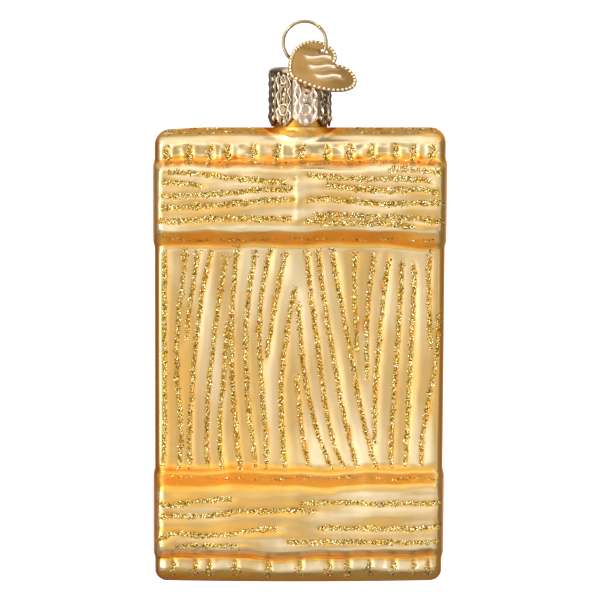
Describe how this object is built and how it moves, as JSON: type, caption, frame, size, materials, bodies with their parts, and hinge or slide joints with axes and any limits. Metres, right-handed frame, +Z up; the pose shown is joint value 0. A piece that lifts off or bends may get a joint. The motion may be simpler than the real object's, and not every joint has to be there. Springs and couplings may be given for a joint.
{
  "type": "sushi ornament",
  "caption": "Hanging blown glass ornament shaped as a wooden serving board with raised feet and moulded sushi, with a metal cap, wire ring and heart tag",
  "frame": {"origin": "the hanging point, inside the top of the ring, where a hook bears", "axes": "+Z is up, +X is to the right seen from the feet side, -Y is the side with the two feet, +Y is the side with the sushi"},
  "size_m": [0.0567, 0.0246, 0.1086],
  "materials": {
    "lacquered_glass": "opaque champagne gold and orange lacquer, satin, with glitter in the grain",
    "cap_metal": "stamped thin sheet, darkened gold",
    "ring_wire": "bright champagne wire",
    "tag_metal": "stamped thin sheet, satin gold"
  },
  "bodies": {
    "root": {"glass_body": "lacquered_glass", "cap": "cap_metal", "ring": "ring_wire", "tag": "tag_metal"}
  },
  "joints": []
}
